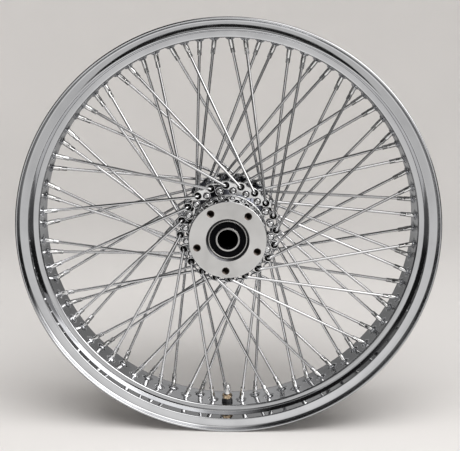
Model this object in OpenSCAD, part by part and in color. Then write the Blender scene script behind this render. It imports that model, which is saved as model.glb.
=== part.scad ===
// Spoked motorcycle wheel, 3.50 x 21, with eighty spokes and a hub for two brake discs.
// The axle runs along Y. The origin is the wheel's centre, and the front disc face looks along -Y.
// Clock angles are in degrees, clockwise from the top as seen from the front.

/* [Rim] */
// Outside diameter over the rim flanges
rim_od = 564; // [562:0.5:566]
// Width between the flanges, where the tyre beads sit
rim_width = 88.9; // [88:0.1:92]
// Overall width over the rolled lips
rim_overall_w = 107.4; // [107:0.1:112]
// Thickness of the rim's steel
rim_wall = 2.3; // [2.1:0.1:2.4]
// Diameter of the spoke bed, on the hub side
bed_d = 511; // [508:0.5:512]
// Width of the spoke bed between its corners
bed_w = 50.6; // [49:0.2:52]
// Depth from the rim's outside to the seat under the beads
flange_h = 16.7; // [16.3:0.1:17]

/* [Spokes] */
// Spokes in each of the four sets
spokes_per_set = 20; // [20:20]
// Diameter of the spoke wire
spoke_d = 3.8; // [3.4:0.1:3.9]
// Distance of the two nipple rows from the middle of the rim
nipple_row = 6.3; // [6:0.1:7]
// Angle at the axle between a nipple and its spoke's hole in the hub
lace_angle = 45; // [44:0.5:46]
// Turn of the hub from the middle of the lacing, left by truing
hub_windup = 1.2; // [-1.5:0.1:1.5]

/* [Nipples] */
// Diameter of the round part that passes through the rim
nipple_d = 6.5; // [6.3:0.1:6.6]
// Diameter of the wrench part at the hub end
nipple_tip_d = 5.9; // [5.8:0.1:6]
// Length from the seat in the rim to the hub end
nipple_len = 21; // [19:0.5:22]
// Height of the raised dimple round each nipple hole
dimple_h = 3; // [2.6:0.1:3.2]

/* [Hub] */
// Distance between the two brake disc faces
hub_w = 154.4; // [152:0.4:158]
// Diameter of the brake disc bosses
boss_d = 102; // [101:0.5:103]
// Diameter of the spoke flanges
flange_d = 140; // [139:0.5:141]
// Distance between the outer faces of the two flanges
flange_span = 71; // [70:0.5:72]
// Thickness of a flange
flange_t = 8; // [7.8:0.1:8.2]
// Radius of the outer ring of spoke holes
outer_ring_r = 64.3; // [64:0.1:64.6]
// Radius of the inner ring of spoke holes
inner_ring_r = 57.6; // [57.4:0.1:57.8]
// Bolt circle of the brake disc
disc_pcd = 82.55; // [82.55]
// Diameter of the brake disc's threaded holes
disc_hole_d = 8; // [7.8:0.1:8.4]
// Clock angle of the first brake disc hole
disc_hole_clock = 39.3; // [36:0.1:42]

/* [Bearings] */
// Bore for the axle
axle_d = 25.4; // [25:0.1:25.4]
// Outside diameter of the bearing
bearing_d = 52; // [52]
// Width of the bearing
bearing_w = 15; // [15]
// Depth of the bearing behind the brake disc face
bearing_inset = 3.5; // [3:0.1:4]

/* [Valve] */
// Distance of the valve in front of the rim's middle
valve_offset = 11.3; // [11:0.1:12]
// Height of the valve over the spoke bed, with its cap
valve_h = 26.5; // [26:0.1:28]

/* [Hidden] */

$fn = 96;
chrome = "silver";
dark_steel = "dimgray";
black_rubber = "black";
brass = "goldenrod";

// Rim section
rim_r = rim_od / 2;
bed_r = bed_d / 2;
half_w = rim_width / 2;
half_bed = bed_w / 2;
half_lip = rim_overall_w / 2;
seat_r = rim_r - flange_h;
lip_r = 1.7;
flange_curl = 6.5;
face_curl = 2.7;
seat_taper = 1.2;
bed_corner = 2.5;
arc_steps = 5;

// Spoke pitch, and the turn from the front lacing to the rear lacing
set_pitch = 360 / spokes_per_set;
rear_shift = set_pitch / 4;
nipple_pitch = set_pitch / 4;
outer_nipple_clock = set_pitch / 4;
inner_nipple_clock = 3 * set_pitch / 4;
outer_hole_clock = outer_nipple_clock + lace_angle + hub_windup;
inner_hole_clock = inner_nipple_clock - lace_angle + hub_windup;

// Hub faces, as distances from the wheel's middle
face_z = hub_w / 2;
flange_out = flange_span / 2;
flange_in = flange_out - flange_t;
dip = 2.4;
dip_r = 7.5;
disc_hole_depth = 22;
disc_chamfer = 0.4;

// Spokes: bend, head and the way that the wire stands off the flange
spoke_r = spoke_d / 2;
bend_r = 3.2;
lap = 0.3;
stand_off = 1.45;
outer_bend_z = flange_out + spoke_r + stand_off - bend_r;
inner_bend_z = flange_in - spoke_r - 0.4 + bend_r;
head_r = 3.8;
head_t = 1.8;
hole_r = spoke_r + 0.2;
sink_r = 4.5;
sink_h = 2.4;

// Nipples
nipple_r = nipple_d / 2;
nipple_tip_r = nipple_tip_d / 2;
nipple_head_r = 4.6;
nipple_head_t = 2.2;
nipple_bore_r = spoke_r + 0.04;
nipple_step = 11.5;
seat_depth = 0.2;
dimple_base_r = 6.6;
dimple_top_r = 3.9;
band_r = bed_r + 3.5;
band_t = 1.4;

// Bearings
bearing_r = bearing_d / 2;
bearing_out = face_z - bearing_inset;
bearing_mid = bearing_out - bearing_w / 2;
bearing_in = bearing_out - bearing_w;
ball_r = 3.97;
ball_count = 9;
ball_circle_r = 19.52;
groove_r = ball_r + 0.06;
inner_race_r = 15.85;
outer_race_r = 23.2;
seal_seat_r = 23.9;
seal_t = 1.2;
seal_in = bearing_w / 2 - 0.6 - seal_t;
race_chamfer = 0.9;

// Valve
stem_r = 3.85;
stem_foot_r = 7.2;
core_r = 2.3;
grommet_r = 7.75;
grommet_h = 6.3;
nut_flats = 12;
nut_h = 6;
cap_r = 4.6;

// ---------- shared shapes and places ----------

// Points of an arc, from angle a0 to a1
function arc(cx, cy, r, a0, a1) =
    [for (i = [0:arc_steps]) let(a = a0 + (a1 - a0) * i / arc_steps) [cx + r * cos(a), cy + r * sin(a)]];

// Stands the wheel up: local z becomes the front direction -Y, and local y becomes up
module upright() rotate([90, 0, 0]) children();

// A section with its mirror image, for a piece that is the same on both sides of the wheel's middle
function both_sides(half) =
    concat(half, [for (i = [len(half) - 1:-1:0]) [half[i][0], -half[i][1]]]);

// Turns local y to a clock angle
module at_clock(clock) rotate([0, 0, -clock]) children();

// Repeats a piece round the wheel for one set of spokes
module round_set() for (i = [0:spokes_per_set - 1]) at_clock(i * set_pitch) children();

// The rear half mirrors the front half, a quarter pitch back
module rear_lacing() mirror([0, 0, 1]) at_clock(-rear_shift) children();

module ring(r_out, r_in, z0, z1) {
    translate([0, 0, z0]) difference() {
        cylinder(r = r_out, h = z1 - z0);
        translate([0, 0, -1]) cylinder(r = r_in, h = z1 - z0 + 2);
    }
}

// ---------- rim ----------

// Side of the rim that faces the hub and the air, from the middle to the lip's tip
function rim_outside() = concat(
    [for (p = arc(bed_r + bed_corner, half_bed - bed_corner, bed_corner, 180, 100)) p],
    [[seat_r - seat_taper - 1, half_bed + 0.6]],
    [[seat_r - seat_taper, half_bed + 1.8]],
    [for (p = arc(seat_r + 1.5, half_w + rim_wall - 1.5, 1.5, 180, 90)) p],
    [for (p = arc(rim_r - 2 * lip_r - face_curl, half_w + rim_wall + face_curl, face_curl, 270, 360)) p],
    [for (p = arc(rim_r - lip_r, half_lip - lip_r, lip_r, 180, 0)) p]
);

// Side of the rim that faces the tyre, from the lip back to the middle
function rim_inside() = concat(
    [for (p = arc(rim_r - flange_curl, half_w + flange_curl, flange_curl, 0, -90)) p],
    [for (p = arc(seat_r + rim_wall + 2, half_w - 2, 2, 90, 180)) p],
    [[seat_r + rim_wall - seat_taper, half_bed + 2.4]],
    [[seat_r + rim_wall - seat_taper - 1.5, half_bed - 1.2]],
    [for (p = arc(bed_r + rim_wall + bed_corner, half_bed - rim_wall - bed_corner, bed_corner, 100, 180)) p]
);

module rim_section() polygon(both_sides(concat(rim_outside(), rim_inside())));

// Puts z along a spoke, out through its nipple's seat, for a nipple at clock and a hole at hole_clock
module along_spoke(clock, ring_r, hole_clock, bend_z, toward) {
    n = nipple_point(clock);
    t = spoke_turn(clock, ring_r, hole_clock, bend_z, toward);
    translate(n) rotate([0, 0, spoke_heading(clock, ring_r, hole_clock)])
        rotate([0, toward > 0 ? t : 180 - t, 0]) children();
}

module at_outer_nipples()
    round_set() along_spoke(outer_nipple_clock, outer_ring_r, outer_hole_clock, outer_bend_z, 1) children();

module at_inner_nipples()
    round_set() along_spoke(inner_nipple_clock, inner_ring_r, inner_hole_clock, inner_bend_z, -1) children();

module at_all_nipples() {
    at_outer_nipples() children();
    at_inner_nipples() children();
    rear_lacing() at_outer_nipples() children();
    rear_lacing() at_inner_nipples() children();
}

module dimple() {
    translate([0, 0, -dimple_h]) cylinder(r1 = dimple_top_r, r2 = dimple_base_r, h = dimple_h, $fn = 24);
    cylinder(r = dimple_base_r, h = 2.2, $fn = 24);
}

module rim() color(chrome) upright() difference() {
    union() {
        at_clock(nipple_pitch / 2) rotate_extrude($fn = 180) rim_section();
        intersection() {
            at_all_nipples() dimple();
            cylinder(r = bed_r + rim_wall - 0.6, h = bed_w, center = true);
        }
    }
    at_all_nipples() {
        translate([0, 0, -dimple_h - 4]) cylinder(r = nipple_r + 0.15, h = 12, $fn = 24);
        translate([0, 0, -seat_depth]) cylinder(r = nipple_head_r + 0.3, h = 8, $fn = 24);
    }
    in_valve_hole() translate([0, 0, -10]) cylinder(r = 5.6, h = 14);
}

// A strip in the well that covers the nipples' heads
module rim_band() color(black_rubber) upright() difference() {
    ring(band_r + band_t, band_r, -half_bed + 6, half_bed - 6);
    in_valve_hole() translate([0, 0, -10]) cylinder(r = stem_foot_r + 2, h = 14);
}

// ---------- spokes and nipples ----------

function on_clock(r, clock) = [r * sin(clock), r * cos(clock)];
function nipple_point(clock) = concat(on_clock(bed_r, clock), [nipple_row]);

// Length and heading, in the wheel's plane, from a hub hole to the nipple
function spoke_run(clock, ring_r, hole_clock) = norm(on_clock(bed_r, clock) - on_clock(ring_r, hole_clock));
function spoke_heading(clock, ring_r, hole_clock) =
    let(d = on_clock(bed_r, clock) - on_clock(ring_r, hole_clock)) atan2(d[1], d[0]);

// Straight part's direction, from the axle's direction, after a bend that starts at bend_z.
// toward is 1 where the wire leaves the hub outwards, and -1 where it leaves inwards.
function bend_to_nipple(clock, ring_r, hole_clock, bend_z, toward) =
    [spoke_run(clock, ring_r, hole_clock) - bend_r, toward * (nipple_row - bend_z)];
function spoke_turn(clock, ring_r, hole_clock, bend_z, toward) =
    let(d = bend_to_nipple(clock, ring_r, hole_clock, bend_z, toward))
    atan2(d[0], d[1]) + asin(bend_r / norm(d));
function straight_len(clock, ring_r, hole_clock, bend_z, toward) =
    let(d = bend_to_nipple(clock, ring_r, hole_clock, bend_z, toward))
    sqrt(norm(d) * norm(d) - bend_r * bend_r);

// One spoke: head, neck through the flange, bend and straight wire that ends inside the nipple
module spoke(clock, ring_r, hole_clock, bend_z, toward, head_z, domed) {
    turn = spoke_turn(clock, ring_r, hole_clock, bend_z, toward);
    len = straight_len(clock, ring_r, hole_clock, bend_z, toward) - 1;
    translate(concat(on_clock(ring_r, hole_clock), [0]))
        rotate([0, 0, spoke_heading(clock, ring_r, hole_clock)])
        mirror([0, 0, toward > 0 ? 0 : 1]) {
            neck_z = toward * head_z;
            start_z = toward * bend_z;
            translate([0, 0, neck_z]) cylinder(r = head_r, h = head_t, $fn = 32);
            if (domed) translate([0, 0, neck_z]) intersection() {
                translate([0, 0, 3.2]) sphere(r = 5, $fn = 48);
                translate([0, 0, -4]) cylinder(r = head_r, h = 4.5, $fn = 32);
            }
            translate([0, 0, neck_z + 0.5]) cylinder(r = spoke_r, h = start_z + lap - neck_z - 0.5, $fn = 32);
            translate([bend_r, 0, start_z]) rotate([90, 0, 180]) rotate_extrude(angle = turn, $fn = 64)
                translate([bend_r, 0]) circle(r = spoke_r - 0.06, $fn = 32);
            translate([bend_r - bend_r * cos(turn), 0, start_z + bend_r * sin(turn)])
                rotate([0, turn, 0]) translate([0, 0, -lap]) cylinder(r = spoke_r, h = len + lap, $fn = 32);
        }
}

module outer_spoke()
    spoke(outer_nipple_clock, outer_ring_r, outer_hole_clock, outer_bend_z, 1, flange_in + 0.3, false);

module inner_spoke()
    spoke(inner_nipple_clock, inner_ring_r, inner_hole_clock, inner_bend_z, -1, flange_out + 0.6, true);

// One nipple along z: head in the tyre side of the rim, round body and wrench end
module nipple() difference() {
    union() {
        translate([0, 0, -seat_depth]) cylinder(r = nipple_head_r, h = nipple_head_t, $fn = 24);
        translate([0, 0, -nipple_step]) cylinder(r = nipple_r, h = nipple_step, $fn = 32);
        translate([0, 0, -nipple_len + 0.8]) cylinder(r = nipple_tip_r, h = nipple_len - nipple_step, $fn = 32);
        translate([0, 0, -nipple_len]) cylinder(r1 = nipple_tip_r - 0.6, r2 = nipple_tip_r, h = 0.8, $fn = 32);
    }
    translate([0, 0, -nipple_len - 1]) cylinder(r = nipple_bore_r, h = nipple_len + 1.2, $fn = 32);
}

module front_outer_spokes() color(chrome) upright() round_set() outer_spoke();
module front_inner_spokes() color(chrome) upright() round_set() inner_spoke();
module rear_outer_spokes() color(chrome) upright() rear_lacing() round_set() outer_spoke();
module rear_inner_spokes() color(chrome) upright() rear_lacing() round_set() inner_spoke();
module front_outer_nipples() color(chrome) upright() at_outer_nipples() nipple();
module front_inner_nipples() color(chrome) upright() at_inner_nipples() nipple();
module rear_outer_nipples() color(chrome) upright() rear_lacing() at_outer_nipples() nipple();
module rear_inner_nipples() color(chrome) upright() rear_lacing() at_inner_nipples() nipple();

// ---------- hub ----------

function hub_outline() = [
    [33, 13],
    [36, 19], [42, 24.5], [50, flange_in],
    [flange_d / 2 - 0.6, flange_in], [flange_d / 2, flange_in + 0.6],
    [flange_d / 2, flange_out - 0.6], [flange_d / 2 - 0.6, flange_out],
    [boss_d / 2 + 1, flange_out], [boss_d / 2, flange_out + 1],
    [boss_d / 2, face_z - 0.8], [boss_d / 2 - 0.8, face_z],
    [bearing_r + 2.3, face_z], [bearing_r, face_z - 2.3],
    [bearing_r, bearing_in], [22.5, bearing_in]
];

// The flange's edge dips between the outer spoke holes
module edge_dips() round_set() at_clock(outer_hole_clock + set_pitch / 2)
    translate([0, flange_d / 2 - dip + dip_r, flange_in - 1]) cylinder(r = dip_r, h = flange_t + 2, $fn = 64);

// Holes of one flange: a neck hole with a countersink where the wire bends, and a seat for the head
module flange_holes() {
    round_set() at_clock(outer_hole_clock) translate([0, outer_ring_r, 0]) {
        translate([0, 0, flange_in - 1]) cylinder(r = hole_r, h = flange_t + 2, $fn = 32);
        translate([0, 0, flange_out - sink_h]) cylinder(r1 = hole_r, r2 = sink_r + 0.2, h = sink_h + 0.2, $fn = 32);
        translate([0, 0, flange_in - 1]) cylinder(r = head_r + 0.3, h = head_t + 1.4, $fn = 32);
    }
    round_set() at_clock(inner_hole_clock) translate([0, inner_ring_r, 0]) {
        translate([0, 0, flange_in - 1]) cylinder(r = hole_r, h = flange_t + 2, $fn = 32);
        translate([0, 0, flange_out - head_t + 0.5]) cylinder(r = sink_r, h = head_t + 1, $fn = 32);
        translate([0, 0, flange_in - 0.2]) cylinder(r1 = hole_r + 1.5, r2 = hole_r, h = 1.7, $fn = 32);
    }
}

module disc_holes() for (i = [0:4]) at_clock(disc_hole_clock + i * 72) translate([0, disc_pcd / 2, face_z]) {
    translate([0, 0, -disc_hole_depth]) cylinder(r = disc_hole_d / 2, h = disc_hole_depth + 8, $fn = 48);
    translate([0, 0, -disc_chamfer]) cylinder(r1 = disc_hole_d / 2, r2 = disc_hole_d / 2 + 0.5, h = 0.5, $fn = 48);
}

module hub_shell() color(chrome) upright() difference() {
    rotate_extrude($fn = 180) polygon(both_sides(hub_outline()));
    edge_dips();
    flange_holes();
    rear_lacing() {
        edge_dips();
        flange_holes();
    }
    disc_holes();
    mirror([0, 0, 1]) disc_holes();
}

module bearing_spacer() color(dark_steel) upright()
    ring(16, axle_d / 2 + 0.2, -bearing_in + 0.02, bearing_in - 0.02);

// ---------- bearings ----------

module front_bearing() upright() translate([0, 0, bearing_mid]) children();
module rear_bearing() upright() mirror([0, 0, 1]) translate([0, 0, bearing_mid]) children();

module ball_groove() rotate_extrude() translate([ball_circle_r, 0]) circle(r = groove_r, $fn = 48);

module outer_race() color("lightgray") difference() {
    rotate_extrude() polygon([
        [outer_race_r, -bearing_w / 2], [bearing_r - race_chamfer, -bearing_w / 2],
        [bearing_r - 0.01, -bearing_w / 2 + race_chamfer], [bearing_r - 0.01, bearing_w / 2 - race_chamfer],
        [bearing_r - race_chamfer, bearing_w / 2], [outer_race_r, bearing_w / 2]
    ]);
    ball_groove();
    for (side = [-1, 1]) translate([0, 0, side * (seal_in + seal_t / 2)])
        cylinder(r = seal_seat_r, h = seal_t + 0.04, center = true);
}

module inner_race() color("lightgray") difference() {
    rotate_extrude() polygon([
        [axle_d / 2 + race_chamfer, -bearing_w / 2], [inner_race_r, -bearing_w / 2],
        [inner_race_r, bearing_w / 2], [axle_d / 2 + race_chamfer, bearing_w / 2],
        [axle_d / 2, bearing_w / 2 - race_chamfer], [axle_d / 2, -bearing_w / 2 + race_chamfer]
    ]);
    ball_groove();
}

module balls() color("lightgray")
    for (i = [0:ball_count - 1]) at_clock(i * 360 / ball_count) translate([0, ball_circle_r, 0]) sphere(r = ball_r);

// Ring with a round pocket for each ball
module cage() color("tan") difference() {
    ring(ball_circle_r + 1.2, ball_circle_r - 1.2, -4.8, 4.8);
    for (i = [0:ball_count - 1]) at_clock(i * 360 / ball_count)
        rotate([-90, 0, 0]) translate([0, 0, ball_circle_r - 4]) cylinder(r = ball_r + 0.06, h = 8);
}

// Rubber seal, ribbed on the side that shows
module seal() color(black_rubber) difference() {
    ring(seal_seat_r - 0.02, inner_race_r + 0.3, seal_in, seal_in + seal_t);
    for (r = [17.6, 20.6]) translate([0, 0, seal_in + seal_t - 0.3]) ring(r + 0.9, r, 0, 1);
}

module front_bearing_outer_race() front_bearing() outer_race();
module front_bearing_inner_race() front_bearing() inner_race();
module front_bearing_balls() front_bearing() balls();
module front_bearing_cage() front_bearing() cage();
module front_bearing_outer_seal() front_bearing() seal();
module front_bearing_inner_seal() front_bearing() mirror([0, 0, 1]) seal();
module rear_bearing_outer_race() rear_bearing() outer_race();
module rear_bearing_inner_race() rear_bearing() inner_race();
module rear_bearing_balls() rear_bearing() balls();
module rear_bearing_cage() rear_bearing() cage();
module rear_bearing_outer_seal() rear_bearing() seal();
module rear_bearing_inner_seal() rear_bearing() mirror([0, 0, 1]) seal();

// ---------- valve ----------

// Local z points from the spoke bed to the hub, at the foot of the wheel
module in_valve_hole() at_clock(180) translate([0, bed_r, valve_offset]) rotate([90, 0, 0]) children();
module valve_frame() upright() in_valve_hole() children();

// Valve core, from the top: body, the pin's seal, spring, and the ledge that the spring stands on
core_top = valve_h - 3.2;
core_bottom = core_top - 9;
seal_top = core_bottom - 0.3;
spring_top = seal_top - 0.8;
spring_h = 5;
ledge = spring_top - spring_h;
pin_r = 0.85;

module valve_grommet() color(black_rubber) valve_frame() difference() {
    union() {
        translate([0, 0, 0.15]) cylinder(r = grommet_r, h = grommet_h - 1.1);
        translate([0, 0, grommet_h - 0.95]) cylinder(r1 = grommet_r, r2 = grommet_r - 0.95, h = 0.95);
        translate([0, 0, -rim_wall - 0.3]) cylinder(r = 5.5, h = rim_wall + 0.5);
        translate([0, 0, -rim_wall - 2.2]) cylinder(r = stem_foot_r + 0.8, h = 2);
    }
    translate([0, 0, -8]) cylinder(r = stem_r + 0.02, h = grommet_h + 10);
}

module valve_stem() color(brass) valve_frame() difference() {
    union() {
        translate([0, 0, -rim_wall - 4.2]) cylinder(r = stem_foot_r, h = 1.95);
        translate([0, 0, -rim_wall - 4.2]) cylinder(r = stem_r, h = rim_wall + 4.2 + valve_h - 2.2);
    }
    translate([0, 0, ledge]) cylinder(r = core_r, h = valve_h);
    translate([0, 0, -rim_wall - 5]) cylinder(r = 1.3, h = valve_h);
}

module valve_nut() color(brass) valve_frame() difference() {
    intersection() {
        translate([0, 0, grommet_h + 0.02]) cylinder(d = nut_flats / cos(30), h = nut_h, $fn = 6);
        translate([0, 0, grommet_h]) union() {
            cylinder(r = nut_flats / 2 + 1, h = nut_h - 1.2);
            translate([0, 0, nut_h - 1.2]) cylinder(r1 = nut_flats / 2 + 1, r2 = nut_flats / 2 - 0.2, h = 1.4);
        }
    }
    cylinder(r = stem_r + 0.02, h = 20);
}

module valve_cap() color(chrome) valve_frame() difference() {
    union() {
        translate([0, 0, grommet_h + nut_h + 0.6]) cylinder(r = cap_r, h = valve_h - grommet_h - nut_h - 1.8);
        translate([0, 0, valve_h - 1.2]) cylinder(r1 = cap_r, r2 = cap_r - 1.1, h = 1.2);
    }
    translate([0, 0, grommet_h]) cylinder(r = stem_r + 0.08, h = valve_h - grommet_h - 1.6);
}

module valve_core_body() color(brass) valve_frame() ring(core_r - 0.02, pin_r + 0.08, core_bottom, core_top);

module valve_core_pin() color(brass) valve_frame() {
    translate([0, 0, spring_top - 2]) cylinder(r = pin_r, h = core_top + 0.6 - spring_top + 2, $fn = 24);
    translate([0, 0, spring_top]) cylinder(r = 1.9, h = seal_top - spring_top, $fn = 32);
}

// Square wire wound in a helix: a sector of a thin ring, twisted as it rises
module valve_core_spring() color("gray") valve_frame() {
    turns = 4;
    sector = 120;
    steps = 4;
    outer = [for (i = [0:steps]) 1.75 * [cos(sector * i / steps), sin(sector * i / steps)]];
    inner = [for (i = [steps:-1:0]) 1.35 * [cos(sector * i / steps), sin(sector * i / steps)]];
    translate([0, 0, ledge + 0.02]) linear_extrude(height = spring_h - 0.04, twist = -360 * turns, slices = 14 * turns)
        polygon(concat(outer, inner));
}

rim();
rim_band();
front_outer_spokes();
front_inner_spokes();
rear_outer_spokes();
rear_inner_spokes();
front_outer_nipples();
front_inner_nipples();
rear_outer_nipples();
rear_inner_nipples();
hub_shell();
bearing_spacer();
front_bearing_outer_race();
front_bearing_inner_race();
front_bearing_balls();
front_bearing_cage();
front_bearing_outer_seal();
front_bearing_inner_seal();
rear_bearing_outer_race();
rear_bearing_inner_race();
rear_bearing_balls();
rear_bearing_cage();
rear_bearing_outer_seal();
rear_bearing_inner_seal();
valve_grommet();
valve_stem();
valve_nut();
valve_cap();
valve_core_body();
valve_core_pin();
valve_core_spring();
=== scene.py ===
"""A chromed motorcycle wheel with eighty spokes and a twin-disc hub: its visible shapes, looks and light.

Sizes are in millimetres in a wheel frame: x to the right, y up and z towards the front. The function
to_world turns them into metres in the CAD's frame. Clock angles run clockwise from the top, in degrees.
"""

from math import asin, atan2, cos, degrees, hypot, pi, radians, sin, sqrt

import bmesh
import bpy
from mathutils import Matrix, Vector


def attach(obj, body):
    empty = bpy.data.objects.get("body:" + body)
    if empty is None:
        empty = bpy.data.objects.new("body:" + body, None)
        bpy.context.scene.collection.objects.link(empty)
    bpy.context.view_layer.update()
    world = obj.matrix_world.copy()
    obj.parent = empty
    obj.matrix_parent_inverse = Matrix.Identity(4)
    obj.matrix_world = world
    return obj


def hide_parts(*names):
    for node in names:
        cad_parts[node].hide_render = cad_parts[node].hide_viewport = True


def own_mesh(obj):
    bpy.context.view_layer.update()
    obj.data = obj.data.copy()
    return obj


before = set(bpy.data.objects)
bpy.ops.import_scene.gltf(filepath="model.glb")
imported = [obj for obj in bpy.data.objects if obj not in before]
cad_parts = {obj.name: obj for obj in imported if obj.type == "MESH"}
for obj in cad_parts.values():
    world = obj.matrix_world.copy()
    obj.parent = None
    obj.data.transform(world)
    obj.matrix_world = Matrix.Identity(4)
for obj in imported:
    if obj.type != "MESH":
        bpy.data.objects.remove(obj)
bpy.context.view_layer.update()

MILLIMETRE = 0.001
SAME_PLACE = 1e-6

# ---------- sizes, as on the CAD part ----------

# Rim, as radii and as half widths from the middle plane
RIM_R = 282.0
RIM_HALF = 44.45
WALL = 2.3
BED_R = 255.5
BED_HALF = 25.3
BED_CORNER = 2.5
LIP_HALF = 53.7
LIP_R = 1.7
SEAT_R = 265.3
SEAT_TAPER = 1.2
FACE_CURL = 2.7
FLANGE_CURL = 6.5
DIMPLE_H = 3.0
DIMPLE_TOP_R = 3.7
DIMPLE_BASE_R = 7.6

# Lacing: four sets of spokes. Clock angles of the first nipple and the first hole of each front set
SET_COUNT = 20
SET_PITCH = 360 / SET_COUNT
REAR_SHIFT = SET_PITCH / 4
NIPPLE_ROW = 6.3
OUTER_NIPPLE = 4.5
INNER_NIPPLE = 13.5
OUTER_HOLE = OUTER_NIPPLE + 46.2
INNER_HOLE = INNER_NIPPLE - 43.8
OUTER_RING_R = 64.3
INNER_RING_R = 57.6

# Hub flange, and the spokes' bends and heads
SPOKE_R = 1.9
BEND_R = 3.2
FLANGE_OUT = 35.5
FLANGE_IN = 27.5
FLANGE_R = 70.0
DIP = 2.4
DIP_R = 7.5
OUTER_BEND_Z = FLANGE_OUT + SPOKE_R + 1.45 - BEND_R
INNER_BEND_Z = FLANGE_IN - SPOKE_R - 0.4 + BEND_R
HEAD_R = 3.8
HEAD_T = 1.8
SINK_R = 4.6
SPOKE_HOLE_R = 2.15

# Nipple: radii, and the inner end of its wrench flats, measured along the spoke from the seat
NIPPLE_NECK_R = 2.95
NIPPLE_BODY_R = 3.25
NIPPLE_SEAT_R = 4.6
WRENCH_HALF = 2.3
WRENCH_END = -14.0

# Hub body and bearings
BOSS_R = 51.0
FACE_Z = 77.2
BEARING_R = 26.0
BEARING_OUT = 73.7
BEARING_W = 15.0
SEAL_R = 23.9
INNER_RACE_R = 15.85
AXLE_R = 12.7
BARREL_R = 22.5
RECESS_R = BEARING_R + 2.3
DISC_HOLE_R = 4.0
DISC_HOLE_COUNT = 5
DISC_CIRCLE_R = 41.275
DISC_CLOCK = 39.3
DISC_CHAMFER = 0.9
THREAD_PITCH = 1.41
THREAD_DEPTH = 0.55
THREAD_TURNS = 14

# Valve: where it stands on the spoke bed, its radii, and its heights above the bed
VALVE_CLOCK = 180
VALVE_Z = 11.3
VALVE_H = 26.5
GROMMET_R = 7.75
GROMMET_H = 6.3
NUT_HALF = 6.0
NUT_H = 6.0
STEM_R = 3.85
CAP_R = 4.6
SPRING_FOOT = 8.2
SPRING_H = 5.0


# ---------- mesh helpers ----------

def to_world(p):
    """From millimetres in the wheel frame to metres in the CAD's frame."""
    return Vector((p[0], -p[2], p[1])) * MILLIMETRE


def on_clock(r, clock, z=0.0):
    """The point at a radius and a clock angle, z in front of the middle plane."""
    return Vector((r * sin(radians(clock)), r * cos(radians(clock)), z))


def full_turn(steps):
    """Angles round a circle, in radians."""
    return [2 * pi * i / steps for i in range(steps)]


def at_side(profile, sign):
    """A profile of (radius, height) for the front (1), or its mirror image for the rear (-1)."""
    return [(r, sign * z) for r, z in profile]


def show(name, data):
    """Puts a mesh, curve, light or camera in the scene."""
    obj = bpy.data.objects.new(name, data)
    bpy.context.scene.collection.objects.link(obj)
    return obj


def join_edges(mesh):
    """Joins points that lie in one place, so that patches built side by side share their edges."""
    work = bmesh.new()
    work.from_mesh(mesh)
    bmesh.ops.remove_doubles(work, verts=work.verts, dist=SAME_PLACE)
    work.to_mesh(mesh)
    work.free()


def make(name, points, faces, material, smooth_angle=35, slots=None):
    """A mesh object from points in the wheel frame. slots is each face's place in a list of materials."""
    mesh = bpy.data.meshes.new(name)
    mesh.from_pydata([to_world(p) for p in points], [], faces)
    for m in material if isinstance(material, (list, tuple)) else [material]:
        mesh.materials.append(m)
    if slots:
        mesh.polygons.foreach_set("material_index", slots)
    join_edges(mesh)
    mesh.shade_smooth()
    mesh.set_sharp_from_angle(angle=radians(smooth_angle))
    mesh.update()
    return show(name, mesh)


def arc(cx, cy, r, a0, a1, steps=8):
    """Points of an arc, angles in degrees."""
    turn = [radians(a0 + (a1 - a0) * i / steps) for i in range(steps + 1)]
    return [(cx + r * cos(a), cy + r * sin(a)) for a in turn]


def to_flat(angle, half_width, sides):
    """Distance from a prism's axis to its side at an angle."""
    corner = pi / sides
    return half_width / cos(angle % (2 * corner) - corner)


class Shape:
    """Points and faces that grow piece by piece."""

    def __init__(self):
        self.points = []
        self.faces = []
        self.slots = []

    def grid(self, rows, slot=0, close_rows=False, close_columns=False):
        """Joins rows of points, all of one length, with quads."""
        start = len(self.points)
        width = len(rows[0])
        for row in rows:
            self.points.extend(row)
        row_count = len(rows) if close_rows else len(rows) - 1
        column_count = width if close_columns else width - 1
        for i in range(row_count):
            j = (i + 1) % len(rows)
            for k in range(column_count):
                m = (k + 1) % width
                self.faces.append((start + i * width + k, start + i * width + m,
                                   start + j * width + m, start + j * width + k))
                self.slots.append(slot)

    def fill(self, ring, slot=0):
        """Closes a ring of points with one face."""
        start = len(self.points)
        self.points.extend(ring)
        self.faces.append(tuple(range(start, start + len(ring))))
        self.slots.append(slot)

    def revolve(self, profile, place=None, steps=96, slot=0, closed=False, flats=None):
        """Turns a profile of (radius, height) about local z, then puts it in place with a matrix.

        flats is a pair that cuts the round down to a prism: its half width across flats, and its sides.
        """
        place = place or Matrix.Identity(4)
        turn = full_turn(steps)
        rows = []
        for r, z in profile:
            reach = [min(r, to_flat(a, *flats)) if flats else r for a in turn]
            rows.append([place @ Vector((d * cos(a), d * sin(a), z)) for d, a in zip(reach, turn)])
        self.grid(rows, slot, close_rows=closed, close_columns=True)

    def tube(self, centres, normals, radius, sides=24, slot=0):
        """Sweeps a circle along centres and closes its ends. normals are pairs of unit vectors across it."""
        rows = []
        for c, (u, v) in zip(centres, normals):
            rows.append([c + radius * (u * cos(a) + v * sin(a)) for a in full_turn(sides)])
        self.grid(rows, slot, close_columns=True)
        self.fill(rows[-1], slot)
        self.fill(rows[0][::-1], slot)

    def build(self, name, material, smooth_angle=35):
        return make(name, self.points, self.faces, material, smooth_angle, self.slots)


def mirrored(points):
    """The rear half of something drawn for the front: mirrored, a quarter pitch back."""
    turn = Matrix.Rotation(radians(REAR_SHIFT), 4, "Z")
    return [turn @ Vector((p[0], p[1], -p[2])) for p in points]


# ---------- materials ----------

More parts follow.
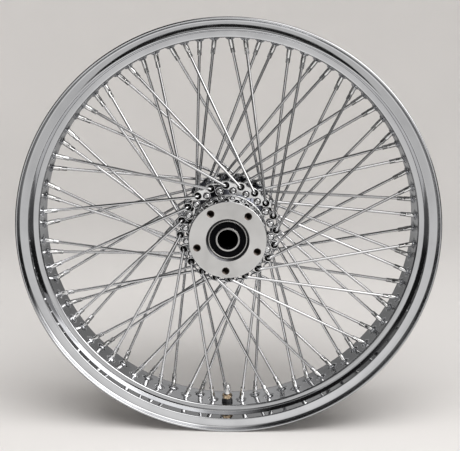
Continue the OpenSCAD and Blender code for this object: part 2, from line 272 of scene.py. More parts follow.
def new_material(name):
    """An empty material with a principled shader."""
    m = bpy.data.materials.new(name)
    m.use_nodes = True
    m.node_tree.nodes.clear()
    out = m.node_tree.nodes.new("ShaderNodeOutputMaterial")
    shader = m.node_tree.nodes.new("ShaderNodeBsdfPrincipled")
    m.node_tree.links.new(shader.outputs[0], out.inputs[0])
    return m, shader


def add(m, kind, **values):
    """Adds a shader node and sets its sockets and properties by name."""
    node = m.node_tree.nodes.new(kind)
    for key, value in values.items():
        if key in node.inputs:
            node.inputs[key].default_value = value
        else:
            setattr(node, key, value)
    return node


def link(m, a, b):
    m.node_tree.links.new(a, b)


def coords(m):
    return add(m, "ShaderNodeTexCoord").outputs["Object"]


def noise(m, where, scale, detail):
    n = add(m, "ShaderNodeTexNoise", Scale=scale, Detail=detail, Roughness=0.55)
    link(m, where, n.inputs["Vector"])
    return n.outputs["Fac"]


def span(m, value, low, high, from_low=0.3, from_high=0.7):
    """Maps a value from one range to another."""
    n = add(m, "ShaderNodeMapRange")
    n.inputs["From Min"].default_value = from_low
    n.inputs["From Max"].default_value = from_high
    n.inputs["To Min"].default_value = low
    n.inputs["To Max"].default_value = high
    link(m, value, n.inputs["Value"])
    return n.outputs[0]


def mix_colour(m, factor, a, b):
    """Goes from colour a to colour b as factor goes from 0 to 1."""
    factor_in, a_in, b_in, colour_out = 0, 6, 7, 2
    n = add(m, "ShaderNodeMix", data_type="RGBA")
    n.inputs[a_in].default_value = (*a, 1)
    n.inputs[b_in].default_value = (*b, 1)
    link(m, factor, n.inputs[factor_in])
    return n.outputs[colour_out]


def bump(m, shader, height, strength, distance):
    n = add(m, "ShaderNodeBump")
    n.inputs["Strength"].default_value = strength
    n.inputs["Distance"].default_value = distance
    link(m, height, n.inputs["Height"])
    link(m, n.outputs[0], shader.inputs["Normal"])


def chrome(name, colour, dull, rough_low, rough_high, wave=0.1):
    """Plated steel: slightly wavy, with faint smudges that dull it in patches."""
    m, shader = new_material(name)
    where = coords(m)
    shader.inputs["Metallic"].default_value = 1.0
    smudge = noise(m, where, 22.0, 4.0)
    link(m, mix_colour(m, span(m, smudge, 0.0, 1.0, 0.45, 0.75), colour, dull), shader.inputs["Base Color"])
    link(m, span(m, noise(m, where, 60.0, 5.0), rough_low, rough_high), shader.inputs["Roughness"])
    bump(m, shader, noise(m, where, 35.0, 1.0), wave, 0.0004)
    return m


def turned(name, colour, dull, roughness, anisotropic, ring_scale, ring_strength):
    """A face cut on a lathe: fine rings round the axle, with a sheen that runs out along the radius."""
    m, shader = new_material(name)
    where = coords(m)
    shader.inputs["Metallic"].default_value = 1.0
    shader.inputs["Anisotropic"].default_value = anisotropic
    tangent = add(m, "ShaderNodeTangent", direction_type="RADIAL", axis="Y")
    link(m, tangent.outputs[0], shader.inputs["Tangent"])
    smudge = noise(m, where, 30.0, 4.0)
    link(m, mix_colour(m, span(m, smudge, 0.0, 1.0, 0.4, 0.75), colour, dull), shader.inputs["Base Color"])
    patches = noise(m, where, 90.0, 4.0)
    link(m, span(m, patches, roughness * 0.85, roughness * 1.15), shader.inputs["Roughness"])
    rings = add(m, "ShaderNodeTexWave", wave_type="RINGS", rings_direction="Y",
                Scale=ring_scale, Distortion=0.4)
    link(m, where, rings.inputs["Vector"])
    bump(m, shader, rings.outputs["Fac"], ring_strength, 0.0001)
    return m


def rubber(name, colour, dust, shine=0.5, rough_low=0.45, rough_high=0.65):
    """Rubber or plastic with a fine grain and patches of dust."""
    m, shader = new_material(name)
    where = coords(m)
    shader.inputs["Specular IOR Level"].default_value = shine
    grain = noise(m, where, 900.0, 2.0)
    link(m, mix_colour(m, span(m, noise(m, where, 70.0, 4.0), 0.0, 1.0, 0.5, 0.8), colour, dust),
         shader.inputs["Base Color"])
    link(m, span(m, grain, rough_low, rough_high), shader.inputs["Roughness"])
    bump(m, shader, grain, 0.25, 0.0002)
    return m


def plain_metal(name, colour, dull, rough_low, rough_high):
    """Bare metal with fine tool marks and patches of light tarnish."""
    m, shader = new_material(name)
    where = coords(m)
    shader.inputs["Metallic"].default_value = 1.0
    link(m, mix_colour(m, span(m, noise(m, where, 120.0, 4.0), 0.0, 1.0), colour, dull),
         shader.inputs["Base Color"])
    link(m, span(m, noise(m, where, 300.0, 3.0), rough_low, rough_high), shader.inputs["Roughness"])
    bump(m, shader, noise(m, where, 700.0, 2.0), 0.12, 0.0002)
    return m


rim_chrome = chrome("rim_chrome", (0.57, 0.575, 0.59), (0.50, 0.505, 0.52), 0.03, 0.07)
bed_chrome = chrome("bed_chrome", (0.88, 0.89, 0.92), (0.74, 0.75, 0.78), 0.10, 0.20)
spoke_chrome = chrome("spoke_chrome", (0.62, 0.62, 0.63), (0.57, 0.57, 0.58), 0.07, 0.11, 0.01)
nipple_chrome = chrome("nipple_chrome", (0.72, 0.72, 0.72), (0.64, 0.63, 0.62), 0.04, 0.07, 0.01)
hub_chrome = chrome("hub_chrome", (0.74, 0.745, 0.75), (0.64, 0.645, 0.65), 0.03, 0.07)
flange_face = turned("flange_face", (0.95, 0.95, 0.955), (0.86, 0.865, 0.87), 0.24, 0.9, 900.0, 0.05)
# A dark copy of the hub chrome: painted shade on the flanges' inner faces and on the hub's waist between
# them
shaded_inner_face = chrome("shaded_inner_face", (0.12, 0.125, 0.15), (0.06, 0.065, 0.08), 0.08, 0.18, 0.2)
disc_face = turned("disc_face", (0.80, 0.79, 0.78), (0.74, 0.73, 0.72), 0.42, 0.5, 1200.0, 0.12)
# Near-black metal: painted shade on the walls of the spoke holes
hole_painted_shade = plain_metal("hole_painted_shade", (0.035, 0.033, 0.031), (0.015, 0.014, 0.013), 0.35, 0.6)
# Dark steel: painted shade in the recess round each bearing, the shadow gap between face and race
recess_painted_shade = plain_metal("recess_painted_shade", (0.20, 0.20, 0.21), (0.12, 0.12, 0.13), 0.3, 0.45)
race_steel = plain_metal("race_steel", (0.55, 0.54, 0.53), (0.42, 0.41, 0.40), 0.2, 0.35)
thread_steel = plain_metal("thread_steel", (0.30, 0.25, 0.22), (0.12, 0.10, 0.09), 0.35, 0.6)
# Near-black without shine: painted shade inside the barrel, the bearing spacer and the inner races' bores
bore_painted_shade = rubber("bore_painted_shade", (0.002, 0.002, 0.0025), (0.003, 0.003, 0.003), 0.0, 0.9, 1.0)
seal_rubber = rubber("seal_rubber", (0.0015, 0.0015, 0.0025), (0.002, 0.002, 0.003), 0.1, 0.6, 0.8)
grommet_rubber = rubber("grommet_rubber", (0.008, 0.008, 0.009), (0.03, 0.03, 0.03))
band_rubber = rubber("band_rubber", (0.02, 0.02, 0.022), (0.05, 0.05, 0.05))
brass = plain_metal("brass", (0.64, 0.52, 0.37), (0.40, 0.29, 0.19), 0.18, 0.35)
cage_plastic = rubber("cage_plastic", (0.50, 0.38, 0.20), (0.62, 0.50, 0.30))

CAD_LOOKS = {
    "rim_band": band_rubber,
    # The bearing spacer's bore is painted near-black as shade
    "bearing_spacer": bore_painted_shade,
    "valve_stem": brass,
    "valve_core_body": brass,
    "valve_core_pin": brass,
}
for side in ("front", "rear"):
    CAD_LOOKS[f"{side}_bearing_balls"] = race_steel
    CAD_LOOKS[f"{side}_bearing_cage"] = cage_plastic
    CAD_LOOKS[f"{side}_bearing_inner_seal"] = seal_rubber
for node, look in CAD_LOOKS.items():
    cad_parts[node].data.materials[0] = look


# ---------- rim ----------

def dimple_height(x, z):
    """Height of the bed's dimples at x round the bed from the nearest front-row nipple and z across it."""
    half_pitch = radians(OUTER_NIPPLE) * BED_R
    height = 0.0
    for row_z, shift in ((NIPPLE_ROW, 0.0), (-NIPPLE_ROW, half_pitch), (-NIPPLE_ROW, -half_pitch)):
        rho = hypot(x - shift, z - row_z)
        t = max(0.0, min(1.0, (DIMPLE_BASE_R - rho) / (DIMPLE_BASE_R - DIMPLE_TOP_R)))
        height += DIMPLE_H * t * t * (3 - 2 * t)
    return height


def flange_dish(r):
    """How far the flange's outer face stands from flat: a very shallow trough between its curved edges."""
    middle, half_width, radius = 271.4, 4.6, 105.0
    return ((r - middle) ** 2 - half_width ** 2) / (2 * radius)


def rim_profile():
    """Half of the rim's section as (radius, height), all but the bed: hub side first, then tyre side."""
    outside = arc(BED_R + BED_CORNER, BED_HALF - BED_CORNER, BED_CORNER, 180, 98)
    outside += [(SEAT_R - SEAT_TAPER - 1, BED_HALF + 0.6)]
    outside += arc(SEAT_R - SEAT_TAPER - 0.9, BED_HALF + 1.5, 0.9, 280, 360, 4)
    outside += arc(SEAT_R + 1.5, RIM_HALF + WALL - 1.5, 1.5, 180, 90)
    outside += [(r, RIM_HALF + WALL + flange_dish(r)) for r in range(268, 276)]
    outside += arc(RIM_R - 2 * LIP_R - FACE_CURL, RIM_HALF + WALL + FACE_CURL, FACE_CURL, 270, 360, 12)
    outside += arc(RIM_R - LIP_R, LIP_HALF - LIP_R, LIP_R, 180, 0, 16)
    inside = arc(RIM_R - FLANGE_CURL, RIM_HALF + FLANGE_CURL, FLANGE_CURL, 0, -90, 12)
    inside += arc(SEAT_R + WALL + 2, RIM_HALF - 2, 2, 90, 180)
    seat_back = SEAT_R + WALL - SEAT_TAPER
    inside += [(seat_back, BED_HALF + 2.4), (seat_back - 1.5, BED_HALF - 1.2)]
    inside += arc(BED_R + WALL + BED_CORNER, BED_HALF - WALL - BED_CORNER, BED_CORNER, 98, 180)
    return outside + inside


def build_rim():
    """The two sides of the rim, and between them the spoke bed with a dimple at each nipple."""
    shape = Shape()
    rim_slot, bed_slot = range(2)
    steps_per_nipple = 16
    steps = 4 * SET_COUNT * steps_per_nipple
    half = rim_profile()
    bed_edge = BED_HALF - BED_CORNER
    bed_columns = 46
    bed = [bed_edge * (1 - 2 * i / bed_columns) for i in range(bed_columns + 1)]
    rear = at_side(half[::-1], -1)
    front_rows = []
    bed_rows = []
    rear_rows = []
    for i in range(steps):
        clock = 360 * i / steps
        from_nipple = (clock % (2 * OUTER_NIPPLE)) - OUTER_NIPPLE
        x = radians(from_nipple) * BED_R
        front_rows.append([on_clock(r, clock, z) for r, z in half])
        rear_rows.append([on_clock(r, clock, z) for r, z in rear])
        bed_rows.append([on_clock(BED_R - dimple_height(x, z), clock, z) for z in bed])
    shape.grid(front_rows, rim_slot, close_rows=True)
    shape.grid(rear_rows, rim_slot, close_rows=True)
    shape.grid([row[::-1] for row in bed_rows], bed_slot, close_rows=True)
    inner = [[on_clock(BED_R + WALL, 360 * i / steps, z) for z in (bed_edge - WALL, -bed_edge + WALL)]
             for i in range(steps)]
    shape.grid(inner, bed_slot, close_rows=True)
    rim = shape.build("rim_look", [rim_chrome, bed_chrome], 50)
    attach(rim, "wheel")
    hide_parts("rim")


build_rim()


# ---------- spokes and nipples ----------

def lacing(nipple, ring_r, hole, bend_z, toward):
    """Where a spoke runs: hole, heading in the wheel's plane, turn of the bend, length of the straight."""
    start = on_clock(ring_r, hole)
    end = on_clock(BED_R, nipple)
    run = end - start
    heading = atan2(run.y, run.x)
    across = run.length - BEND_R
    along = toward * (NIPPLE_ROW - bend_z)
    reach = hypot(across, along)
    turn = degrees(atan2(across, along)) + degrees(asin(BEND_R / reach))
    return start, heading, turn, sqrt(reach * reach - BEND_R * BEND_R)


def spoke_frame(start, heading, toward):
    """Matrix from a spoke's own plane (x outwards, z along the neck) to the wheel frame."""
    flip = Matrix.Diagonal((1, 1, toward, 1))
    return Matrix.Translation(start) @ Matrix.Rotation(heading, 4, "Z") @ flip


def add_spoke(shape, nipple, ring_r, hole, bend_z, toward, head_z):
    """A spoke with its head. toward is 1 where the neck points to the front, -1 where it points back."""
    start, heading, turn, length = lacing(nipple, ring_r, hole, bend_z, toward)
    place = spoke_frame(start, heading, toward)
    centres = []
    frames = []
    across = Vector((0, 1, 0))
    inside_head = 0.4
    inside_nipple = 1
    bend_start = toward * bend_z
    for z in (toward * head_z + inside_head, bend_start):
        centres.append(Vector((0, 0, z)))
        frames.append((Vector((1, 0, 0)), across))
    bend_steps = 9
    for i in range(1, bend_steps + 1):
        a = radians(turn * i / bend_steps)
        centres.append(Vector((BEND_R - BEND_R * cos(a), 0, bend_start + BEND_R * sin(a))))
        frames.append((Vector((cos(a), 0, -sin(a))), across))
    a = radians(turn)
    centres.append(centres[-1] + (length - inside_nipple) * Vector((sin(a), 0, cos(a))))
    frames.append(frames[-1])
    world = [place @ c for c in centres]
    linear = place.to_3x3()
    pairs = [(linear @ u, linear @ v) for u, v in frames]
    shape.tube(world, pairs, SPOKE_R)
    head = [(0.01, -0.35), (1.1, -0.42), (1.7, -0.5), (2.6, -0.35), (3.3, 0.05), (3.7, 0.6)]
    head += [(HEAD_R, 1.1), (HEAD_R, HEAD_T - 0.2), (HEAD_R - 0.4, HEAD_T), (SPOKE_R, HEAD_T)]
    shape.revolve(head, place @ Matrix.Translation((0, 0, toward * head_z)), steps=24)
    return place, turn, length


def add_nipple(shape, place, turn, length, bend_z, toward):
    """A nipple along its spoke. Local z runs outwards, and its origin is the seat at the bed's radius."""
    a = radians(turn)
    bend_end = Vector((BEND_R - BEND_R * cos(a), 0, toward * bend_z + BEND_R * sin(a)))
    seat = bend_end + length * Vector((sin(a), 0, cos(a)))
    along = place @ Matrix.Translation(seat) @ Matrix.Rotation(a, 4, "Y")
    tip = [(1.95, -20.7), (2.1, -21.0), (2.45, -21.0), (2.85, -20.6)]
    tip += [(NIPPLE_NECK_R, -20.2), (NIPPLE_NECK_R, WRENCH_END)]
    body = [(WRENCH_HALF, WRENCH_END), (NIPPLE_NECK_R, WRENCH_END + 0.1), (NIPPLE_NECK_R, -11.8)]
    body += [(NIPPLE_BODY_R, -11.4), (NIPPLE_BODY_R, -1.6)]
    shoulder = [(NIPPLE_BODY_R, -1.6), (3.6, -1.3), (4.3, -0.5)]
    shoulder += [(NIPPLE_SEAT_R, 0.0), (NIPPLE_SEAT_R, 2.0), (0.1, 2.0)]
    shape.revolve(tip, along, steps=32, flats=(WRENCH_HALF, 4))
    shape.revolve(body, along, steps=32)
    shape.revolve(shoulder, along, steps=32)


def build_lacing():
    """The four sets of spokes and nipples. The rear sets are the front ones mirrored."""
    # Nipple's angle, hole's ring and angle, height of the bend, way the neck points, height of the head
    sets = {
        "outer": (OUTER_NIPPLE, OUTER_RING_R, OUTER_HOLE, OUTER_BEND_Z, 1, FLANGE_IN + 0.3),
        "inner": (INNER_NIPPLE, INNER_RING_R, INNER_HOLE, INNER_BEND_Z, -1, FLANGE_OUT + 0.6),
    }
    for ring, (nipple, ring_r, hole, bend_z, toward, head_z) in sets.items():
        spokes = Shape()
        nipples = Shape()
        for i in range(SET_COUNT):
            turn = i * SET_PITCH
            placed = add_spoke(spokes, nipple + turn, ring_r, hole + turn, bend_z, toward, head_z)
            add_nipple(nipples, *placed, bend_z, toward)
        pieces = (
            ("spokes", spokes, spoke_chrome, "chromed_spoke"),
            ("nipples", nipples, nipple_chrome, "chromed_nipple"),
        )
        for side in ("front", "rear"):
            for kind, shape, look, slot in pieces:
                points = shape.points if side == "front" else mirrored(shape.points)
                obj = make(f"{side}_{ring}_{kind}_look", points, shape.faces, look, 40)
                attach(obj, "wheel")
                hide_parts(f"{side}_{ring}_{kind}")


build_lacing()


# ---------- hub ----------

def plate(name, outline, holes, z, thickness, edge, material, back_material=None):
    """A flat plate with round holes and rounded edges, made from a filled curve. Its middle is at z."""
    curve = bpy.data.curves.new(name, "CURVE")
    curve.dimensions = "2D"
    curve.fill_mode = "BOTH"
    curve.extrude = (thickness / 2 - edge) * MILLIMETRE
    curve.bevel_depth = edge * MILLIMETRE
    curve.bevel_resolution = 2
    curve.offset = -edge * MILLIMETRE
    loops = [outline]
    small_hole, small_steps, large_steps = 20, 40, 160
    for x, y, r in holes:
        turn = full_turn(small_steps if r < small_hole else large_steps)
        loops.append([(x + r * cos(-a), y + r * sin(-a)) for a in turn])
    for loop in loops:
        spline = curve.splines.new("POLY")
        spline.points.add(len(loop) - 1)
        for point, (x, y) in zip(spline.points, loop):
            point.co = (x * MILLIMETRE, y * MILLIMETRE, 0, 1)
        spline.use_cyclic_u = True
    source = show(name + "_curve", curve)
    mesh = bpy.data.meshes.new_from_object(source)
    bpy.data.objects.remove(source)
    mesh.transform(Matrix.Rotation(radians(90), 4, "X") @ Matrix.Translation((0, 0, z * MILLIMETRE)))
    open_holes(mesh, holes)
    mesh.materials.clear()
    mesh.materials.append(material)
    # The back material goes on the faces that look to the rear: painted shade on a flange's inner face
    if back_material:
        mesh.materials.append(back_material)
        facing_back = [1 if p.normal.y > 0.9 else 0 for p in mesh.polygons]
        mesh.polygons.foreach_set("material_index", facing_back)
    mesh.shade_smooth()
    mesh.set_sharp_from_angle(angle=radians(28))
    return show(name, mesh)


def open_holes(mesh, holes):
    """Takes out the flat faces that a filled curve can leave across its holes."""
    work = bmesh.new()
    work.from_mesh(mesh)
    covers = []
    for face in work.faces:
        if abs(face.normal.y) < 0.99:
            continue
        centre = face.calc_center_median() / MILLIMETRE
        if any(hypot(centre.x - x, centre.z - y) < r for x, y, r in holes):
            covers.append(face)
    bmesh.ops.delete(work, geom=covers, context="FACES")
    work.to_mesh(mesh)
    work.free()


def flange_outline():
    """The flange's edge: a circle with a shallow dip between each pair of outer holes."""
    points = []
    dip_centre = FLANGE_R - DIP + DIP_R
    steps = SET_COUNT * 24
    for i in range(steps):
        clock = -360 * i / steps
        from_dip = (clock - OUTER_HOLE - SET_PITCH / 2) % SET_PITCH
        from_dip = radians(min(from_dip, SET_PITCH - from_dip))
        root = DIP_R ** 2 - (dip_centre * sin(from_dip)) ** 2
        r = FLANGE_R
        if root > 0:
            r = min(r, dip_centre * cos(from_dip) - sqrt(root))
        p = on_clock(r, clock)
        points.append((p.x, p.y))
    return points


def build_flanges(spoke_holes):
    """Both spoke flanges. The rear one is the front one mirrored and turned back a quarter pitch."""
    middle_hole = (0, 0, 47.0)
    holes = [(p.x, p.y, SINK_R) for p in spoke_holes] + [middle_hole]
    # The inner faces, which look at each other, get the dark chrome as painted shade
    front = plate("front_flange", flange_outline(), holes, (FLANGE_OUT + FLANGE_IN) / 2,
                  FLANGE_OUT - FLANGE_IN, 0.7, flange_face, shaded_inner_face)
    rear_mesh = front.data.copy()
    turn = Matrix.Rotation(radians(REAR_SHIFT), 4, "Y")
    rear_mesh.transform(turn.inverted() @ Matrix.Diagonal((1, -1, 1, 1)))
    rear_mesh.flip_normals()
    return [front, show("rear_flange", rear_mesh)]


def build_hole_linings(outer_holes, inner_holes):
    """The walls of the spoke holes, with a dished seat at each end, in near-black metal as painted shade."""
    lining = Shape()
    for p in outer_holes:
        bore = [(SINK_R, FLANGE_OUT - 0.6), (SINK_R - 0.1, FLANGE_OUT - 0.7), (2.6, FLANGE_OUT - 3.0)]
        bore += [(SPOKE_HOLE_R, FLANGE_OUT - 4.0), (SPOKE_HOLE_R, FLANGE_IN + 2.4)]
        seat = [(SPOKE_HOLE_R, FLANGE_IN + 2.4), (4.1, FLANGE_IN + 2.4), (SINK_R, FLANGE_IN + 0.6)]
        lining.revolve(bore, Matrix.Translation(p), steps=32)
        lining.revolve(seat, Matrix.Translation(p), steps=32)
    for p in inner_holes:
        bore = [(SINK_R, FLANGE_OUT - 0.6), (SINK_R, FLANGE_OUT - 1.3), (SPOKE_HOLE_R, FLANGE_OUT - 1.3)]
        bore += [(SPOKE_HOLE_R, FLANGE_IN + 1.5), (SINK_R, FLANGE_IN + 0.6)]
        lining.revolve(bore, Matrix.Translation(p), steps=32)
    return [
        make("front_hub_cups", lining.points, lining.faces, hole_painted_shade, 40),
        make("rear_hub_cups", mirrored(lining.points), lining.faces, hole_painted_shade, 40),
    ]


def build_hub_body():
    """Boss walls, recesses round the bearings, bearing seats, the barrel's inside and the hub's waist."""
    boss_slot, waist_slot, bore_slot, recess_slot = range(4)
    seat_end = BEARING_OUT - BEARING_W
    wall = [(50.0, FLANGE_OUT - 0.1), (BOSS_R + 0.8, FLANGE_OUT - 0.1)]
    wall += arc(BOSS_R + 0.8, FLANGE_OUT + 0.8, 0.8, 270, 180, 4)
    wall += arc(BOSS_R - 0.8, FACE_Z - 0.8, 0.8, 0, 90, 5)
    # The recess round each bearing is dark steel: painted shade
    recess = arc(RECESS_R, FACE_Z - 0.4, 0.4, 90, 135, 2)
    recess += [(BEARING_R, FACE_Z - 2.5)]
    # The bearing seats and the barrel's inside are near-black: painted shade
    seat = [(BEARING_R, FACE_Z - 2.5), (BEARING_R, seat_end), (BARREL_R, seat_end)]
    barrel = [(BARREL_R, 0), (BARREL_R, seat_end)]
    # The waist between the flanges is dark chrome: painted shade
    waist = [(33, 0), (33, 13), (36, 19), (42, 24.5), (50, FLANGE_IN + 0.05)]
    body = Shape()
    for sign in (1, -1):
        body.revolve(at_side(wall, sign), steps=240, slot=boss_slot)
        body.revolve(at_side(recess, sign), steps=160, slot=recess_slot)
        body.revolve(at_side(seat, sign), steps=160, slot=bore_slot)
        body.revolve(at_side(barrel, sign), steps=120, slot=bore_slot)
        body.revolve(at_side(waist, sign), steps=160, slot=waist_slot)
    return body.build("hub_body", [hub_chrome, shaded_inner_face, bore_painted_shade, recess_painted_shade], 40)


def build_disc_faces(disc_holes):
    """The faces that the brake discs bolt to."""
    radius = BOSS_R - 0.8
    outline = [(radius * cos(a), radius * sin(a)) for a in full_turn(240)]
    holes = [(p.x, p.y, DISC_HOLE_R + DISC_CHAMFER) for p in disc_holes] + [(0, 0, RECESS_R)]
    faces = []
    for name, sign in (("disc_face_1", 1), ("disc_face_m1", -1)):
        faces.append(plate(name, outline, holes, sign * (FACE_Z - 0.5), 1.0, 0.12, disc_face))
    return faces


def build_disc_threads(disc_holes):
    """The threads in the disc holes, as rings."""
    to_crest, depth = 0.7, 21
    top = FACE_Z - DISC_CHAMFER
    profile = [(DISC_HOLE_R + DISC_CHAMFER, FACE_Z - 0.05), (DISC_HOLE_R, top)]
    for i in range(THREAD_TURNS):
        crest = top - to_crest - THREAD_PITCH * i
        profile += [(DISC_HOLE_R - THREAD_DEPTH, crest), (DISC_HOLE_R, top - THREAD_PITCH * (i + 1))]
    profile += [(0.05, top - depth)]
    threads = []
    for side, sign in (("front", 1), ("rear", -1)):
        shape = Shape()
        for p in disc_holes:
            shape.revolve(profile, Matrix.Translation(p), steps=40)
        points = [(p[0], p[1], sign * p[2]) for p in shape.points]
        threads.append(make(f"{side}_disc_threads", points, shape.faces, thread_steel, 60))
    return threads


def build_hub():
    """The hub shell: flanges, the linings of their holes, body, disc faces and threads."""
    outer_holes = [on_clock(OUTER_RING_R, OUTER_HOLE + i * SET_PITCH) for i in range(SET_COUNT)]
    inner_holes = [on_clock(INNER_RING_R, INNER_HOLE + i * SET_PITCH) for i in range(SET_COUNT)]
    disc_pitch = 360 / DISC_HOLE_COUNT
    disc_holes = [on_clock(DISC_CIRCLE_R, DISC_CLOCK + i * disc_pitch) for i in range(DISC_HOLE_COUNT)]
    parts = build_flanges(outer_holes + inner_holes)
    parts += build_hole_linings(outer_holes, inner_holes)
    parts += [build_hub_body()]
    parts += build_disc_faces(disc_holes)
    parts += build_disc_threads(disc_holes)
    for part in parts:
        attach(part, "wheel")
        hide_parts("hub_shell")


build_hub()


# ---------- bearings ----------

def seal_profile():
    """The rubber seal's section: a flat rim, two ribs and a lip that runs on the inner race."""
    face = BEARING_OUT - 0.75
    back = BEARING_OUT - 1.8
    lip_r = INNER_RACE_R + 0.3
    profile = [(SEAL_R, back), (SEAL_R, face - 0.1), (SEAL_R - 0.2, face), (22.6, face)]
    for rib_r in (21.3, 18.6):
        profile += [(rib_r + 0.9, face - 0.35), (rib_r + 0.5, face + 0.05)]
        profile += [(rib_r - 0.5, face + 0.05), (rib_r - 0.9, face - 0.35)]
    profile += [(17.0, face), (lip_r + 0.15, face), (lip_r, face - 0.2), (lip_r, back)]
    return profile


def build_bearings():
    """What shows of each bearing: outer race, outer seal and inner race."""
    inside = BEARING_OUT - BEARING_W
    groove_foot = BEARING_OUT - 1.8
    race_r = BEARING_R - 0.02
    outer = [(SEAL_R + 0.02, BEARING_OUT - 0.2), (SEAL_R + 0.2, BEARING_OUT), (BEARING_R - 0.9, BEARING_OUT)]
    outer += [(BEARING_R - 0.3, BEARING_OUT - 0.3), (race_r, BEARING_OUT - 0.9), (race_r, inside)]
    outer += [(23.2, inside), (23.2, groove_foot), (SEAL_R + 0.02, groove_foot)]
    ring_face = [(INNER_RACE_R, inside), (INNER_RACE_R, BEARING_OUT - 0.35)]
    ring_face += [(INNER_RACE_R - 0.15, BEARING_OUT - 0.1), (INNER_RACE_R - 0.4, BEARING_OUT)]
    ring_face += [(AXLE_R + 0.9, BEARING_OUT)]
    ring_bore = [(AXLE_R + 0.9, BEARING_OUT), (AXLE_R, BEARING_OUT - 0.9)]
    ring_bore += [(AXLE_R, inside), (INNER_RACE_R, inside)]
    for side, sign in (("front", 1), ("rear", -1)):
        race = Shape()
        race.revolve(at_side(outer, sign), steps=128, closed=True)
        seal = Shape()
        seal.revolve(at_side(seal_profile(), sign), steps=128, closed=True)
        ring = Shape()
        ring.revolve(at_side(ring_face, sign), steps=128, slot=0)
        # The inner race's bore is painted near-black as shade
        ring.revolve(at_side(ring_bore, sign), steps=128, slot=1)
        pieces = (
            (race, "outer_race", [race_steel], "wheel", "bearing_steel"),
            (seal, "outer_seal", [seal_rubber], "wheel", "black_rubber"),
            (ring, "inner_race", [race_steel, bore_painted_shade], "axle_parts", "bearing_steel"),
        )
        for shape, kind, looks, body, slot in pieces:
            obj = shape.build(f"{side}_{kind}_look", looks, 40)
            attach(obj, body)
            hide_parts(f"{side}_bearing_{kind}")


build_bearings()


# ---------- valve ----------

def valve_frame():
    """Matrix from the valve's own frame, whose z points from the spoke bed to the hub, to the wheel's."""
    return Matrix.Translation(on_clock(BED_R, VALVE_CLOCK, VALVE_Z)) @ Matrix.Rotation(radians(-90), 4, "X")


def build_core_spring():
    """The valve core's coil spring, as a fixed coil."""
    place = valve_frame()
    linear = place.to_3x3()
    coil_r, wire_r, gap, turns, steps = 1.55, 0.18, 0.02, 4, 20
    rise = SPRING_H - 2 * wire_r - 2 * gap
    slope = rise / (2 * pi * turns * coil_r)
    centres = []
    frames = []
    for i in range(turns * steps + 1):
        a = 2 * pi * i / steps
        out = Vector((cos(a), sin(a), 0))
        along = Vector((-sin(a), cos(a), slope)).normalized()
        height = SPRING_FOOT + gap + wire_r + rise * i / (turns * steps)
        centres.append(place @ (coil_r * out + Vector((0, 0, height))))
        frames.append((linear @ out, linear @ along.cross(out)))
    coil = Shape()
    coil.tube(centres, frames, wire_r, 10)
    obj = coil.build("valve_core_spring_look", race_steel, 60)
    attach(obj, "wheel")
    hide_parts("valve_core_spring")
    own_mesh(obj)


def build_valve():
    """Grommet, nut and cap."""
    place = valve_frame()
    bore = STEM_R + 0.05
    grommet = [(bore, -WALL - 2.2), (GROMMET_R, -WALL - 2.2), (GROMMET_R, -WALL - 0.3), (5.5, -WALL - 0.3)]
    grommet += [(5.5, 0.05), (GROMMET_R - 0.3, 0.05), (GROMMET_R, 0.5), (GROMMET_R, 2.2)]
    grommet += arc(GROMMET_R - 2.6, 2.2, 2.6, 0, 50, 6)
    grommet += [(6.4, GROMMET_H - 1.2), (6.2, GROMMET_H - 0.3), (5.8, GROMMET_H), (bore, GROMMET_H)]
    nut_corner = NUT_HALF / cos(pi / 6)
    nut_top = GROMMET_H + NUT_H
    nut = [(bore, GROMMET_H + 0.02), (NUT_HALF, GROMMET_H + 0.02), (nut_corner, GROMMET_H + 0.6)]
    nut += [(nut_corner, nut_top - 0.7), (NUT_HALF - 0.2, nut_top)]
    nut += [(bore + 0.6, nut_top), (bore, nut_top - 0.6)]
    cap_foot = nut_top + 0.6
    cap = [(bore, VALVE_H - 1.6), (bore, cap_foot), (CAP_R - 0.2, cap_foot), (CAP_R, cap_foot + 0.3)]
    cap += [(CAP_R, VALVE_H - 4.6), (CAP_R - 0.5, VALVE_H - 3.7), (CAP_R - 1.3, VALVE_H - 3.2)]
    cap += [(CAP_R - 1.4, VALVE_H - 0.7), (CAP_R - 2.0, VALVE_H), (0.02, VALVE_H), (0.02, VALVE_H - 1.6)]
    pieces = (
        ("grommet", grommet, None, grommet_rubber, "wheel", "black_rubber"),
        ("nut", nut, (NUT_HALF, 6), brass, "wheel", "brass"),
        ("cap", cap, (CAP_R - 0.25, 12), nipple_chrome, "valve_cap_body", "chromed_cap"),
    )
    for kind, profile, flats, look, body, slot in pieces:
        shape = Shape()
        shape.revolve(profile, place, steps=96, closed=True, flats=flats)
        obj = shape.build(f"valve_{kind}_look", look, 30)
        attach(obj, body)
        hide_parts(f"valve_{kind}")


build_valve()
build_core_spring()


# ---------- stage, light and camera ----------

FLOOR_Z = -0.282

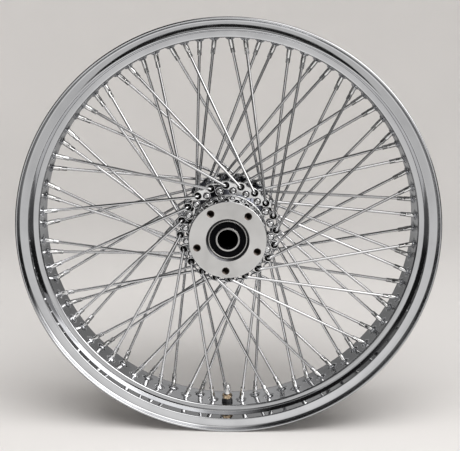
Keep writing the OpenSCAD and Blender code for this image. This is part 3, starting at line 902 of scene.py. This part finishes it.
# What the chrome mirrors, as patches of directions: brightness, then pairs of values of a direction's
# component between which the patch fades in
ROOM = {
    "floor": (0.70, ("Z", -0.03, -0.04), ("Y", -0.30, -0.45), ("X", 0.52, 0.47), ("X", -0.52, -0.47)),
    "near_floor": (0.20, ("Z", -0.26, -0.44), ("Y", 0.10, -0.10)),
    "side_floor": (0.12, ("Z", -0.16, -0.24)),
    "front_wall": (0.52, ("Z", 0.03, 0.04), ("Z", 0.30, 0.25), ("Y", -0.30, -0.45), ("X", -0.52, -0.47)),
    "front_light": (0.90, ("Z", 0.27, 0.36), ("Y", -0.05, -0.20), ("X", -0.25, 0.02)),
    "lamp": (1.30, ("Z", 0.27, 0.36), ("Y", -0.05, -0.20), ("X", 0.06, 0.18)),
    "right_window": (1.60, ("X", 0.42, 0.52), ("Z", 0.12, 0.22), ("Z", 0.88, 0.78), ("Y", 0.35, 0.15)),
    "left_window": (0.15, ("X", -0.62, -0.80), ("Z", 0.12, 0.25)),
    "backdrop": (0.13, ("Y", 0.60, 0.75), ("Z", 0.75, 0.60)),
    "high_backdrop": (0.20, ("Y", 0.60, 0.75), ("Z", 0.25, 0.40), ("Z", 0.75, 0.60)),
}
ROOM_DIM = 0.02


def build_stage():
    """A round sweep of pale paper, in metres: a floor that curves up into a wall all round."""
    m, shader = new_material("paper")
    where = coords(m)
    shade = noise(m, where, 1.6, 2.0)
    link(m, mix_colour(m, span(m, shade, 0.0, 1.0), (0.745, 0.73, 0.715), (0.775, 0.757, 0.742)),
         shader.inputs["Base Color"])
    shader.inputs["Roughness"].default_value = 0.75
    bump(m, shader, noise(m, where, 18.0, 5.0), 0.06, 0.004)
    floor_r, bend, top = 1.3, 1.2, 3.2
    profile = [(0.001, 0)]
    profile += [(floor_r + bend * sin(radians(a)), bend - bend * cos(radians(a))) for a in range(0, 91, 6)]
    profile += [(floor_r + bend, top)]
    sweep = Shape()
    sweep.revolve([(r / MILLIMETRE, h / MILLIMETRE) for r, h in profile], steps=128)
    obj = make("paper_sweep", sweep.points, sweep.faces, m, 60)
    obj.rotation_euler = (radians(-90), 0, 0)
    obj.location = (0, 0, FLOOR_Z)
    obj.visible_glossy = False
    return obj


def area_light(name, place, target, size, power, colour=(1, 1, 1)):
    """A soft light that the chrome doesn't mirror. Places and sizes are in metres, power in watts."""
    light = bpy.data.lights.new(name, "AREA")
    light.shape = "RECTANGLE"
    light.size, light.size_y = size
    light.energy = power
    light.color = colour
    obj = show(name, light)
    obj.location = place
    obj.rotation_euler = (Vector(target) - Vector(place)).to_track_quat("-Z", "Y").to_euler()
    obj.visible_glossy = False


def build_world():
    """A dim room whose bright patches are mirrored in the chrome. It lights nothing else."""
    world = bpy.data.worlds.new("room")
    world.use_nodes = True
    tree = world.node_tree
    background = tree.nodes["Background"]
    split = tree.nodes.new("ShaderNodeSeparateXYZ")
    tree.links.new(tree.nodes.new("ShaderNodeTexCoord").outputs["Generated"], split.inputs[0])

    def fade(axis, start, full):
        n = tree.nodes.new("ShaderNodeMapRange")
        n.interpolation_type = "SMOOTHSTEP"
        n.inputs["From Min"].default_value = start
        n.inputs["From Max"].default_value = full
        tree.links.new(split.outputs[axis], n.inputs[0])
        return n.outputs[0]

    def combine(operation, a, b):
        n = tree.nodes.new("ShaderNodeMath")
        n.operation = operation
        for socket, value in zip(n.inputs, (a, b)):
            if isinstance(value, float):
                socket.default_value = value
            else:
                tree.links.new(value, socket)
        return n.outputs[0]

    glow = ROOM_DIM
    for brightness, *edges in ROOM.values():
        patch = brightness
        for edge in edges:
            patch = combine("MULTIPLY", patch, fade(*edge))
        glow = combine("ADD", glow, patch)
    tree.links.new(glow, background.inputs[1])
    background.inputs[0].default_value = (1.0, 0.99, 0.975, 1)
    world.cycles_visibility.diffuse = False
    bpy.context.scene.world = world


def build_camera():
    """The photograph's view of the wheel. Angles are in degrees and distances in metres."""
    azimuth, elevation, roll, distance = 0.672, 13.46, 0.434, 1.2027
    sensor, focal_share = 36.0, 1.89413
    aim = Vector((0.00198, 0, 0.0015))
    a, e = radians(azimuth), radians(elevation)
    place = distance * Vector((sin(a) * cos(e), -cos(a) * cos(e), sin(e)))
    camera = bpy.data.cameras.new("camera")
    camera.sensor_width = sensor
    camera.lens = focal_share * sensor
    obj = show("camera", camera)
    turn = (aim - place).to_track_quat("-Z", "Y").to_matrix().to_4x4()
    obj.matrix_world = Matrix.Translation(place) @ turn @ Matrix.Rotation(radians(roll), 4, "Z")
    bpy.context.scene.camera = obj


build_stage()
area_light("overhead", place=(0.15, -0.8, 1.6), target=(0.05, -0.45, -0.28), size=(2.4, 1.0), power=25,
           colour=(1.0, 0.985, 0.975))
area_light("paper_fill", place=(0.3, -0.7, 2.4), target=(0.4, 0.8, 0), size=(3.4, 2.0), power=46)
build_world()
build_camera()
bpy.context.scene.view_settings.view_transform = "Standard"
